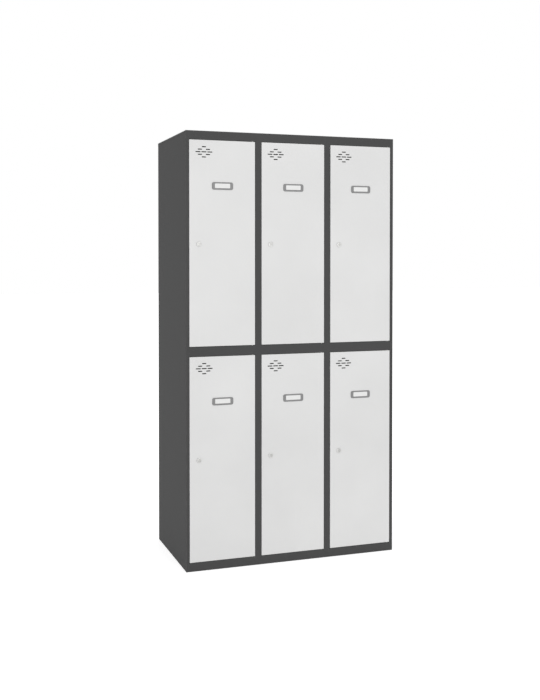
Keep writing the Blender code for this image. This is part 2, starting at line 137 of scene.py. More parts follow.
@dataclass(frozen=True)
class Sock:
    """An output socket that can be used in sums."""

    tree: Tree
    socket: NodeSocket

    __add__, __radd__ = maths("ADD"), maths("ADD", True)
    __sub__, __rsub__ = maths("SUBTRACT"), maths("SUBTRACT", True)
    __mul__, __rmul__ = maths("MULTIPLY"), maths("MULTIPLY", True)
    __truediv__, __rtruediv__ = maths("DIVIDE"), maths("DIVIDE", True)


def weighed(parts: Iterable[Sock], shares: Iterable[float], base: float = 0.0) -> Sock:
    """Add a share of each part to a number."""
    return sum((part * share for part, share in zip(parts, shares)), base)


class Tree:
    """A node tree that is written node by node."""

    def __init__(self, tree: NodeTree) -> None:
        """Start on an empty tree."""
        self.tree = tree
        self.tree.nodes.clear()

    def node(
        self,
        kind: str,
        values: Mapping[str | int, Any] | None = None,
        output: str | int = 0,
        **settings: Any,
    ) -> Sock:
        """Add any node.

        Args:
            kind: The node's type.
            values: Its sockets' values or links, by name or number.
            output: The output that is wanted.
            settings: Its own settings, set first. The two stops of a ramp go under stops.

        Returns:
            That output, or the first input of a node that has no outputs.
        """
        made = self.tree.nodes.new(kind)
        stops = settings.pop("stops", ())
        for key, value in settings.items():
            setattr(made, key, value)
        for number, (place, grey) in enumerate(stops):
            made.color_ramp.elements[number].position = place
            made.color_ramp.elements[number].color = (grey, grey, grey, 1.0)
        for key, value in (values or {}).items():
            for item in value if isinstance(value, list) else [value]:
                if isinstance(item, Sock):
                    self.tree.links.new(item.socket, made.inputs[key])
                else:
                    made.inputs[key].default_value = item
        return Sock(self, made.outputs[output] if made.outputs else made.inputs[0])


class Pattern(Enum):
    """The kinds of marks in a finish."""

    CLOUDS = "noise on the part's own coordinates"
    TURNED = "noise on the map of a turned part"
    CELLS = "cells of one grey each"


@dataclass(frozen=True)
class Layer:
    """A layer of marks. Its cells are counted in a metre, or along each axis.

    Where it has a span, that part of its range becomes 0 to 1 and the rest is cut off.
    """

    cells: float | Triple
    detail: float = 2.0
    strength: float = 0.5
    span: Pair | None = None
    pattern: Pattern = Pattern.CLOUDS


class ShaderTree(Tree):
    """A material's tree."""

    def __init__(self, name: str) -> None:
        """Make a material and start its tree.

        Args:
            name: The material's name.
        """
        self.material = bpy.data.materials.new(name)
        self.material.use_nodes = True
        super().__init__(self.material.node_tree)

    def layer(self, layer: Layer) -> Sock:
        """Draw a layer of marks.

        Args:
            layer: What they are like.

        Returns:
            The marks as a height from 0 to 1.
        """
        if layer.pattern is Pattern.TURNED:
            place = self.node("ShaderNodeUVMap", uv_map=TURNED)
        else:
            place = self.node("ShaderNodeTexCoord", output="Object")
        if layer.pattern is Pattern.CELLS:
            cells = self.node(
                "ShaderNodeTexVoronoi", {"Vector": place, "Scale": layer.cells}, "Color")
            return self.node("ShaderNodeSeparateColor", {"Color": cells})
        scale = layer.cells
        if isinstance(scale, tuple):
            place = self.node("ShaderNodeMapping", {"Vector": place, "Scale": scale})
            scale = 1.0
        marks = self.node("ShaderNodeTexNoise", {
            "Vector": place, "Scale": scale, "Detail": layer.detail, "Roughness": layer.strength})
        return self.ramp(marks, layer.span) if layer.span else marks

    def ramp(self, value: Sock, span: Pair, top: float = 1.0) -> Sock:
        """Take a span of a number to 0 and top, and cut off the rest."""
        stops = ((span[0], 0.0), (span[1], top))
        return self.node("ShaderNodeValToRGB", {"Fac": value}, stops=stops)

    def mix(self, share: Sock | float, *ends: Sock | Triple) -> Sock:
        """Mix two colours.

        Args:
            share: How much of the second.
            ends: The two colours.

        Returns:
            The mixed colour.
        """
        first, second = ((*end, 1.0) if isinstance(end, tuple) else end for end in ends)
        return self.node(
            "ShaderNodeMix", {0: share, 6: first, 7: second}, 2, data_type="RGBA")

    def bump(self, height: Sock, depth: float) -> Sock:
        """Return a normal that follows a height, in metres for a height of 1."""
        return self.node("ShaderNodeBump", {"Strength": 1.0, "Distance": depth, "Height": height})


class Recipe(Tree):
    """A Geometry Nodes tree with named inputs."""

    def __init__(self, name: str, inputs: Mapping[str, str]) -> None:
        """Make the tree.

        Args:
            name: Its name.
            inputs: The kind of each input, by name.
        """
        super().__init__(bpy.data.node_groups.new(name, "GeometryNodeTree"))
        face = self.tree.interface
        for way in ("OUTPUT", "INPUT"):
            face.new_socket(name="Geometry", in_out=way, socket_type="NodeSocketGeometry")
        self.keys = {}
        for label, kind in inputs.items():
            made = face.new_socket(name=label, in_out="INPUT", socket_type=f"NodeSocket{kind}")
            self.keys[label] = made.identifier
        self.entry = self.tree.nodes.new("NodeGroupInput")

    def given(self, label: str) -> Sock:
        """Return one of the tree's inputs."""
        return Sock(self, self.entry.outputs[label])

    def repeat(self, points: Sock, label: str, turn: Sock | None = None) -> Sock:
        """Set one of the tree's input shapes on points.

        Args:
            points: The points.
            label: The input that holds the shape.
            turn: The shapes' rotation, where they aren't upright.

        Returns:
            The instances.
        """
        shape = self.node("GeometryNodeObjectInfo", {"Object": self.given(label)}, "Geometry")
        values = {"Points": points, "Instance": shape}
        if turn:
            values["Rotation"] = turn
        return self.node("GeometryNodeInstanceOnPoints", values)

    def end(self, geometry: Sock) -> Recipe:
        """Turn instances into a mesh, give it its finish and close the tree.

        Args:
            geometry: What the tree makes.

        Returns:
            This recipe, ready to run.
        """
        real = self.node("GeometryNodeRealizeInstances", {"Geometry": geometry})
        finished = self.node("GeometryNodeSetMaterial", {
            "Geometry": real, "Material": self.given("Finish")})
        self.node("NodeGroupOutput", {"Geometry": finished})
        return self

    def bake(self, start: Mesh, values: Mapping[str, Any]) -> Mesh:
        """Run the tree on a mesh.

        Args:
            start: The mesh that goes in.
            values: The inputs' values, by name. A mesh goes in as an object.

        Returns:
            The plain mesh that comes out.
        """
        stamps = {
            label: placed(value) for label, value in values.items() if isinstance(value, Mesh)}
        inputs = {self.keys[label]: value for label, value in {**values, **stamps}.items()}
        made = settle(start, ("NODES", {"node_group": self.tree, **inputs}))
        for stamp in stamps.values():
            bpy.data.objects.remove(stamp, do_unlink=True)
        return made


# Mesh work


def placed(data: ID) -> Object:
    """Put a mesh, lamp or camera in the scene as an object of the same name.

    Args:
        data: The mesh, lamp or camera.

    Returns:
        The object.
    """
    item = bpy.data.objects.new(data.name, data)
    bpy.context.scene.collection.objects.link(item)
    return item


def settle(mesh: Mesh, *steps: tuple[str, Mapping[str, Any]]) -> Mesh:
    """Take a mesh through modifiers.

    Args:
        mesh: The mesh to start from.
        steps: Each modifier's kind, with its settings and its tree's inputs by identifier.

    Returns:
        The plain mesh that comes out.
    """
    host = placed(mesh)
    for kind, settings in steps:
        step = host.modifiers.new(kind.title(), kind)
        for key, value in settings.items():
            if hasattr(step, key):
                setattr(step, key, value)
            else:
                step[key] = value
    graph = bpy.context.evaluated_depsgraph_get()
    made = bpy.data.meshes.new_from_object(host.evaluated_get(graph))
    bpy.data.objects.remove(host, do_unlink=True)
    return made


def to_mesh(bm: BMesh) -> Mesh:
    """Turn a bmesh into a mesh.

    Args:
        bm: The bmesh, which is freed.

    Returns:
        The mesh.
    """
    mesh = bpy.data.meshes.new("part")
    bm.to_mesh(mesh)
    bm.free()
    return mesh


def dressed(mesh: Mesh, finish: Finish) -> Mesh:
    """Give a mesh one finish.

    Args:
        mesh: The mesh.
        finish: The finish.

    Returns:
        The same mesh.
    """
    mesh.materials.clear()
    mesh.materials.append(finish.material)
    return mesh


def joined(meshes: Iterable[Mesh]) -> Mesh:
    """Join meshes that keep their own materials.

    Args:
        meshes: The meshes.

    Returns:
        The joined mesh.
    """
    finishes: list[Material | None] = []
    bm = bmesh.new()
    for mesh in meshes:
        start = len(bm.faces)
        bm.from_mesh(mesh)
        bm.faces.ensure_lookup_table()
        own = list(mesh.materials) or [None]
        for face in bm.faces[start:]:
            finish = own[min(face.material_index, len(own) - 1)]
            if finish not in finishes:
                finishes.append(finish)
            face.material_index = finishes.index(finish)
    made = to_mesh(bm)
    for finish in finishes:
        made.materials.append(finish)
    return made


def moved(mesh: Mesh, place: Vector, turn: float = 0.0, axis: str = "X") -> Mesh:
    """Copy a mesh, turn it about an axis through the origin and move it.

    Args:
        mesh: The mesh.
        place: Where its origin goes.
        turn: How far it turns.
        axis: The axis that it turns about.

    Returns:
        The copy.
    """
    copy = mesh.copy()
    copy.transform(Matrix.Translation(place) @ Matrix.Rotation(turn, 4, axis))
    return copy


def middle(node: str) -> Vector:
    """Return the middle of a node's box."""
    return sum(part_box(node), Vector()) / 2


def rounded(width: float, height: float, radius: float, steps: int) -> Outline:
    """Return the outline of a rectangle with round corners, about its middle.

    Args:
        width: Its width.
        height: Its height.
        radius: The corners' radius.
        steps: Pieces in each corner.

    Returns:
        The outline's points.
    """
    points = []
    for number, (x, y) in enumerate(((1, 1), (-1, 1), (-1, -1), (1, -1))):
        for step in range(steps + 1):
            angle = QUARTER * (number + step / steps)
            points.append((
                x * (width / 2 - radius) + radius * math.cos(angle),
                y * (height / 2 - radius) + radius * math.sin(angle)))
    return points


def loft(loops: Sequence[tuple[Outline, float]], closed: bool = False) -> Mesh:
    """Join outlines of equal length into a solid. They lie across Y.

    Args:
        loops: Each outline with its place along Y.
        closed: True where the last outline meets the first, as in a ring.

    Returns:
        The mesh.
    """
    bm = bmesh.new()
    rings = [[bm.verts.new((x, depth, z)) for x, z in outline] for outline, depth in loops]
    if closed:
        rings.append(rings[0])
    for first, second in zip(rings, rings[1:]):
        for index in range(len(first)):
            bm.faces.new((first[index - 1], first[index], second[index], second[index - 1]))
    if not closed:
        bm.faces.new(rings[0])
        bm.faces.new(rings[-1])
    bmesh.ops.recalc_face_normals(bm, faces=bm.faces)
    return to_mesh(bm)


def bar(low: Vector, high: Vector) -> Mesh:
    """Make a box between two corners.

    Args:
        low: The lowest corner.
        high: The highest corner.

    Returns:
        The box.
    """
    bm = bmesh.new()
    place = Matrix.Translation((low + high) / 2) @ Matrix.Diagonal((*(high - low), 1))
    bmesh.ops.create_cube(bm, size=1, matrix=place)
    return to_mesh(bm)


def drill(radius: float, reach: float, sides: int = 16) -> Mesh:
    """Return a bar along Z that cuts a round hole, with this reach to each side."""
    profile = ((0, reach), (radius, reach), (radius, -reach), (0, -reach))
    return Turning(profile, sides).build()


def cut(mesh: Mesh, tools: Iterable[Mesh]) -> Mesh:
    """Cut shapes that don't touch each other out of a mesh.

    Args:
        mesh: The mesh.
        tools: The shapes.

    Returns:
        What is left of the mesh.
    """
    cutter = placed(joined(tools))
    made = settle(mesh, (
        "BOOLEAN", {"operation": "DIFFERENCE", "solver": "EXACT", "object": cutter}))
    bpy.data.objects.remove(cutter, do_unlink=True)
    return made


@dataclass(frozen=True)
class Turning:
    """A shape turned about the Z axis, from its radius and height along the outline."""

    profile: Outline
    sides: int

    def build(self) -> Mesh:
        """Turn the outline.

        The outline closes on itself where it starts off the axis. Its map runs round the
        axis in U and along the outline in V.

        Returns:
            The mesh.
        """
        bm = bmesh.new()
        layer = bm.loops.layers.uv.new(TURNED)
        turns = [math.tau * side / self.sides for side in range(self.sides)]
        points, rings = list(self.profile), []
        for radius, height in points:
            rings.append([
                bm.verts.new((radius * math.cos(turn), radius * math.sin(turn), height))
                for turn in turns] if radius else [bm.verts.new((0, 0, height))] * self.sides)
        if points[0][0] > 0:
            points.append(points[0])
            rings.append(rings[0])
        runs = [0.0]
        for first, second in zip(points, points[1:]):
            runs.append(runs[-1] + math.dist(first, second))
        for number in range(len(rings) - 1):
            for side in range(self.sides):
                corners: dict[BMVert, Pair] = {}
                for up, along in ((0, 0), (0, 1), (1, 1), (1, 0)):
                    vert = rings[number + up][(side + along) % self.sides]
                    spot = ((side + along) / self.sides, runs[number + up])
                    corners.setdefault(vert, spot)
                face = bm.faces.new(list(corners))
                for loop, spot in zip(face.loops, corners.values()):
                    loop[layer].uv = spot
        bmesh.ops.recalc_face_normals(bm, faces=bm.faces)
        return to_mesh(bm)


@dataclass(frozen=True)
class Head:
    """The head of a small fastener, with its Z axis outwards.

    Its outline is in shares of its radius and height. Its cross recess has the arms' half
    length and half width in shares of the radius, and its depth in metres.
    """

    radius: float
    height: float
    outline: Outline
    sides: int
    recess: Triple | None = None

    @cached_property
    def mesh(self) -> Mesh:
        """Turn the head and cut its recess.

        Returns:
            The head.
        """
        head = Turning(
            [(share * self.radius, rise * self.height) for share, rise in self.outline],
            self.sides).build()
        if self.recess:
            arm, half, depth = self.recess
            for x, y in ((arm, half), (half, arm)):
                corner = Vector((x * self.radius, y * self.radius, 2 * self.height))
                low = Vector((-corner.x, -corner.y, self.height - depth))
                head = cut(head, [bar(low, corner)])
        return head


RIVET = Head(0.0032, 0.0011, (
    (0, 0.45), (0.34375, 0.5), (0.4125, 1), (0.62, 0.86), (0.9, 0.45), (1, 0), (0, 0)), 12)
SCREW = Head(0.0031, 0.0016, (
    (0, 1), (0.5, 0.97), (0.82, 0.75), (0.97, 0.4), (1, 0), (0, 0)), 16, (0.58, 0.11, 0.0008))


@dataclass(frozen=True)
class SheetMetal:
    """The steel sheet that the panels are folded from."""

    thickness: float = 0.0008
    fold_radius: float = 0.0015
    fold_steps: int = 5
    broken_edge: float = 0.00015
    sharp: float = math.radians(50)

    @property
    def breaking(self) -> tuple[str, dict[str, Any]]:
        """The step that breaks cut edges."""
        return "BEVEL", {
            "width": self.broken_edge, "segments": 1, "limit_method": "ANGLE",
            "angle_limit": self.sharp}

    def fold(self, bm: BMesh, edges: list[BMEdge]) -> None:
        """Round the edges where a sheet is folded, and mark the faces of each fold.

        Args:
            bm: The sheet's surface.
            edges: The edges.
        """
        layer = bm.faces.layers.float.new(FOLD)
        made = bmesh.ops.bevel(
            bm, geom=edges, offset=self.fold_radius, offset_type="OFFSET",
            segments=self.fold_steps, profile=0.5, affect="EDGES", clamp_overlap=True)
        for face in made["faces"]:
            face[layer] = 1.0
        bm.normal_update()

    def thicken(self, surface: BMesh) -> Mesh:
        """Give a surface this thickness on its hidden side, and break the cut edges."""
        solid = {"thickness": self.thickness, "offset": -1.0, "use_even_offset": True}
        return settle(to_mesh(surface), ("SOLIDIFY", solid), self.breaking)


SHEET = SheetMetal()


@dataclass(frozen=True)
class FoldedSheet:
    """A sheet folded round a node's box, with some of the box's sides left open.

    Its main face lies opposite the first open side, and a lip is turned in round that side.
    """

    node: str
    open_sides: tuple[Side, ...]
    lip: float = 0.0

    def build(self) -> Mesh:
        """Fold the sheet.

        Returns:
            The sheet with its thickness and broken edges.
        """
        bm = bmesh.new()
        bm.from_mesh(bar(*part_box(self.node)))
        first = self.open_sides[0]
        main = min(bm.faces, key=lambda face: face.normal.dot(first.way))
        opened = {
            edge for side in self.open_sides for face in side.faces(bm) for edge in face.edges}
        SHEET.fold(bm, [edge for edge in main.edges if edge not in opened])
        if self.lip:
            bmesh.ops.inset_individual(bm, faces=first.faces(bm)[:1], thickness=self.lip)
        unwanted = {
            max(side.faces(bm), key=lambda face: face.calc_area())
            for side in (self.open_sides[:1] if self.lip else self.open_sides)}
        bmesh.ops.delete(bm, geom=list(unwanted), context="FACES")
        return SHEET.thicken(bm)


# Finishes


@dataclass(frozen=True)
class Finish:
    """A finish that is mixed when it is first used."""

    name: str

    def values(self, tree: ShaderTree) -> dict[str, Any]:
        """Draw what the surface shows.

        Args:
            tree: The finish's tree.

        Returns:
            The surface's values and links, by socket name.
        """
        raise NotImplementedError

    @cached_property
    def material(self) -> Material:
        """Mix the finish.

        Returns:
            The material.
        """
        tree = ShaderTree(self.name)
        shader = tree.node("ShaderNodeBsdfPrincipled", self.values(tree))
        tree.node("ShaderNodeOutputMaterial", {"Surface": shader})
        return tree.material


@dataclass(frozen=True)
class PowderCoat(Finish):
    """A baked powder coat: fine grain, orange peel, faint scuffs, and thin along the folds."""

    colour: Triple
    thin: Triple
    roughness: float
    shine: float = 0.42
    relief: float = 0.00016
    scuff: float = 0.22
    speck: float = 0.35
    speck_span: Pair = (0.62, 0.8)
    tones: Pair = (0.96, 1.03)
    tone_span: Pair = (0.3, 0.7)
    # The thin colour's share on a fold, and what rubbing adds to it.
    fold_shares: Pair = (0.12, 0.5)
    # What grain, drift, scuffs and folds add to the roughness.
    rough_shares: tuple[float, ...] = (0.1, 0.08, 0.08, -0.06)
    # What grain and peel add to the relief.
    relief_shares: Pair = (0.2, 0.8)

    layers: ClassVar[dict[str, Layer]] = {
        "grain": Layer(900.0, 3.0, 0.6),
        "peel": Layer(190.0, 1.0),
        "drift": Layer(2.6, 3.0),
        "rubbing": Layer(70.0, 4.0, 0.65, (0.42, 0.68)),
        "streaks": Layer((75.0, 75.0, 5.0), 5.0, 0.7, (0.56, 0.72)),
        "patches": Layer(1.9, span=(0.48, 0.7)),
    }

    def values(self, tree: ShaderTree) -> dict[str, Any]:
        """Draw the coat.

        Args:
            tree: The coat's tree.

        Returns:
            The surface's values and links, by socket name.
        """
        grain, peel, drift, rubbing, streaks, patches = map(tree.layer, self.layers.values())
        fold = tree.node("ShaderNodeAttribute", output="Fac", attribute_name=FOLD)
        deep, light = (tuple(part * tone for part in self.colour) for tone in self.tones)
        tone = tree.mix(tree.ramp(drift, self.tone_span), deep, light)
        speckled = tree.mix(tree.ramp(grain, self.speck_span, self.speck), tone, self.thin)
        scuffs = streaks * patches
        scuffed = tree.mix(scuffs * self.scuff, speckled, self.thin)
        least, rubbed = self.fold_shares
        return {
            "Base Color": tree.mix(fold * (rubbing * rubbed + least), scuffed, self.thin),
            "Roughness": weighed(
                (grain, drift, scuffs, fold), self.rough_shares, self.roughness),
            "Normal": tree.bump(weighed((grain, peel), self.relief_shares), self.relief),
            "Specular IOR Level": self.shine}


@dataclass(frozen=True)
class Grained(Finish):
    """A finish of two tones. Its first layer is fine marks, and a second one is clouds.

    The shares are what each layer adds to the second tone and to the roughness.
    """

    tones: tuple[Triple, Triple]
    roughness: float
    layers: tuple[Layer, ...]
    tone_shares: tuple[float, ...] = (0.1, 0.35)
    rough_shares: tuple[float, ...] = (0.09, 0.08)
    metallic: float = 1.0
    depth: float = 0.00001

    def values(self, tree: ShaderTree) -> dict[str, Any]:
        """Draw the marks.

        Args:
            tree: The finish's tree.

        Returns:
            The surface's values and links, by socket name.
        """
        marks = [tree.layer(layer) for layer in self.layers]
        return {
            "Base Color": tree.mix(weighed(marks, self.tone_shares), *self.tones),
            "Metallic": self.metallic,
            "Roughness": weighed(marks, self.rough_shares, self.roughness),
            "Normal": tree.bump(marks[0], self.depth)}


@dataclass(frozen=True)
class FloorFinish(Finish):
    """A pale matt floor with faint clouds, and a glow that lightens its shadows."""

    tones: tuple[Triple, Triple] = ((0.69, 0.69, 0.69), (0.72, 0.72, 0.72))
    clouds: Layer = Layer(8.0, 3.0)
    roughness: float = 0.9
    shine: float = 0.1
    glow: float = 0.55

    def values(self, tree: ShaderTree) -> dict[str, Any]:
        """Draw the floor.

        Args:
            tree: The floor's tree.

        Returns:
            The surface's values and links, by socket name.
        """
        return {
            "Base Color": tree.mix(tree.layer(self.clouds), *self.tones),
            "Roughness": self.roughness, "Specular IOR Level": self.shine,
            "Emission Color": (1, 1, 1, 1), "Emission Strength": self.glow}


PLATING_CLOUDS = Layer(55.0, 4.0, 0.6, (0.4, 0.75))
SPUN = (Layer((6.0, 9000.0, 1.0), pattern=Pattern.TURNED), PLATING_CLOUDS)
DRAWN = (Layer((12.0, 2600.0, 2600.0)), PLATING_CLOUDS)
DULL = (Layer(420.0, pattern=Pattern.CELLS), PLATING_CLOUDS)

ANTHRACITE = PowderCoat(
    "anthracite_coat", (0.0475, 0.0475, 0.0477), (0.085, 0.085, 0.086), 0.65, 0.12)
LIGHT_GREY = PowderCoat("light_grey_coat", (0.505, 0.505, 0.503), (0.59, 0.59, 0.587), 0.41)
NICKEL = Grained("nickel_plate", ((0.54, 0.54, 0.53), (0.44, 0.44, 0.43)), 0.34, SPUN)
NICKEL_SILVER = Grained(
    "nickel_silver", ((0.45, 0.45, 0.44), (0.36, 0.36, 0.35)), 0.36, SPUN)
ZINC_PLATE = Grained(
    "zinc_plate", ((0.62, 0.62, 0.60), (0.52, 0.51, 0.46)), 0.30, DULL, (0.25, 0.35))
CHROME = Grained("drawn_chrome", ((0.74, 0.74, 0.75), (0.66, 0.66, 0.67)), 0.10, DRAWN)
PLASTIC = Grained(
    "holder_plastic", ((0.13616, 0.13616, 0.13616), (0.16576, 0.16576, 0.16576)), 0.36,
    (Layer(2400.0, 2.0, 0.6), Layer((14.0, 60.0, 60.0))), (0.3, 0.7), (0.12,), 0.0, 0.00002)
CARD_STOCK = Grained(
    "blank_card", ((0.54625, 0.54625, 0.54245), (0.575, 0.575, 0.571)), 0.75,
    (Layer((500.0, 900.0, 1800.0), 4.0, 0.7),), (1.0,), (0.1,), 0.0, 0.00003)
# The finish of a piece whose mesh has none yet.
PLAIN_FINISHES = {
    Slot.BODY: ANTHRACITE, Slot.DOOR: LIGHT_GREY, Slot.ZINC: ZINC_PLATE, Slot.RAIL: CHROME}


# Things that repeat


def rows_recipe() -> Recipe:
    """Write the tree that sets a shape along seams.

    Returns:
        A tree whose mesh input holds the seams as edges. Each shape's Z axis looks the way
        of Facing, and it is turned about that axis by chance from a fixed seed.
    """
    recipe = Recipe("set_along_seams", {
        "Shape": "Object", "Pitch": "Float", "Facing": "Vector", "Seed": "Int",
        "Finish": "Material"})
    path = recipe.node("GeometryNodeMeshToCurve", {"Mesh": recipe.given("Geometry")})
    points = recipe.node("GeometryNodeCurveToPoints", {
        "Curve": path, "Length": recipe.given("Pitch")}, "Points", mode="LENGTH")
    upright = recipe.node(
        "FunctionNodeAlignRotationToVector", {"Vector": recipe.given("Facing")}, axis="Z")
    chance = recipe.node("FunctionNodeRandomValue", {
        2: 0.0, 3: math.tau, "Seed": recipe.given("Seed")}, 1, data_type="FLOAT")
    spin = recipe.node("ShaderNodeCombineXYZ", {"Z": chance})
    turn = recipe.node("FunctionNodeEulerToRotation", {0: spin})
    pose = recipe.node("FunctionNodeRotateRotation", {
        "Rotation": upright, "Rotate By": turn}, rotation_space="LOCAL")
    return recipe.end(recipe.repeat(points, "Shape", pose))


def vent_recipe() -> Recipe:
    """Write the tree that punches a diamond of slots and sets a rolled rim in each.

    Returns:
        A tree whose mesh input is the sheet. Each tool cuts one slot, and each rim goes into
        one. The row of three has longer slots than the others.
    """
    recipe = Recipe("punch_diamond", {
        "Tool": "Object", "Rim": "Object", "Long tool": "Object", "Long rim": "Object",
        "Centre": "Vector", "Pair pitch": "Float", "Triple pitch": "Float",
        "Row pitch": "Float", "Finish": "Material"})
    centre = recipe.node("ShaderNodeSeparateXYZ", {0: recipe.given("Centre")})
    x, y, z = (Sock(recipe, output) for output in centre.socket.node.outputs)
    short, long = [], []
    for row, count in enumerate((1, 2, 3, 2, 1)):
        pitch = recipe.given("Triple pitch" if count == 3 else "Pair pitch")
        start = recipe.node("ShaderNodeCombineXYZ", {
            "X": x - pitch * ((count - 1) / 2), "Y": y,
            "Z": z + recipe.given("Row pitch") * (2 - row)})
        step = recipe.node("ShaderNodeCombineXYZ", {"X": pitch})
        (long if count == 3 else short).append(recipe.node("GeometryNodeMeshLine", {
            "Count": count, "Start Location": start, "Offset": step}, mode="OFFSET"))
    points = recipe.node("GeometryNodeJoinGeometry", {"Geometry": short})
    tools, rims = (
        recipe.node("GeometryNodeJoinGeometry", {"Geometry": [
            recipe.repeat(points, kind.capitalize()), recipe.repeat(long[0], f"Long {kind}")]})
        for kind in ("tool", "rim"))
    punched = recipe.node("GeometryNodeMeshBoolean", {
        "Mesh 1": recipe.given("Geometry"),
        "Mesh 2": recipe.node("GeometryNodeRealizeInstances", {"Geometry": tools}),
    }, operation="DIFFERENCE", solver="EXACT")
    return recipe.end(recipe.node("GeometryNodeJoinGeometry", {"Geometry": [punched, rims]}))


def thread_recipe() -> Recipe:
    """Write the tree that winds a thread's ridge round a barrel.

    Returns:
        A tree whose mesh input isn't used. The thread rises along Z from the origin.
    """
    recipe = Recipe("wind_thread", {
        "Radius": "Float", "Length": "Float", "Pitch": "Float", "Ridge": "Float",
        "Finish": "Material"})
    radius, length = recipe.given("Radius"), recipe.given("Length")
    path = recipe.node("GeometryNodeCurveSpiral", {
        "Resolution": THREAD_STEPS, "Rotations": length / recipe.given("Pitch"),
        "Start Radius": radius, "End Radius": radius, "Height": length})
    ridge = recipe.node("GeometryNodeCurvePrimitiveCircle", {
        "Resolution": RIDGE_SIDES, "Radius": recipe.given("Ridge")}, mode="RADIUS")
    return recipe.end(recipe.node("GeometryNodeCurveToMesh", {
        "Curve": path, "Profile Curve": ridge, "Fill Caps": True}))


class Shop:
    """Adds finished pieces to the scene and sets rows of small ones."""

    seed: ClassVar[int] = 7

    def __init__(self) -> None:
        """Write the trees and start the collection of pieces."""
        self.rows = rows_recipe()
        self.vent = vent_recipe()
        self.thread = thread_recipe()
        self.collection = bpy.data.collections.new("locker_pieces")
        bpy.context.scene.collection.children.link(self.collection)

    def add(self, name: str, mesh: Mesh, body: str, slot: Slot, *nodes: str) -> None:
        """Add a finished piece.

        Args:
            name: The piece's name.
            mesh: Its mesh, in place.
            body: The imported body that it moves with.
            slot: The record's slot that its finish belongs to.
            nodes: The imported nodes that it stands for.
        """
        if not any(mesh.materials):
            dressed(mesh, PLAIN_FINISHES[slot])
        mesh.shade_smooth()
        mesh.set_sharp_from_angle(angle=SMOOTH_ANGLE)
        made = settle(mesh, ("WEIGHTED_NORMAL", {"keep_sharp": True, "weight": 100}))
        made.name = name
        piece = bpy.data.objects.new(name, made)
        self.collection.objects.link(piece)
        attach(piece, body)
        if nodes:
            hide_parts(*nodes)
        LOG.info("%s: %d faces on %s", name, len(made.polygons), body)

    def along(
        self, head: Head, seams: Sequence[tuple[Triple, Triple]], facing: Side, pitch: float
    ) -> Mesh:
        """Set zinc-plated heads along straight seams.

        Args:
            head: Their shape.
            seams: Each seam's two ends.
            facing: The way that they look.
            pitch: Their spacing.

        Returns:
            All the heads as one mesh.
        """
        line = bpy.data.meshes.new("seams")
        ends = [end for seam in seams for end in seam]
        line.from_pydata(ends, [(index, index + 1) for index in range(0, len(ends), 2)], [])
        return self.rows.bake(line, {
            "Shape": head.mesh, "Pitch": pitch, "Facing": facing.way, "Seed": self.seed,
            "Finish": ZINC_PLATE.material})


# Sub-assemblies


@dataclass
class SubAssembly:
    """A part of the locker. Where it says nothing else, it stands in each compartment."""

    shop: Shop

    def build(self) -> None:
        """Fit every compartment."""
        for seat in SEATS:
            self.fit(seat)

    def fit(self, seat: str) -> None:
        """Fit one compartment.

        Args:
            seat: The compartment.
        """
        raise NotImplementedError


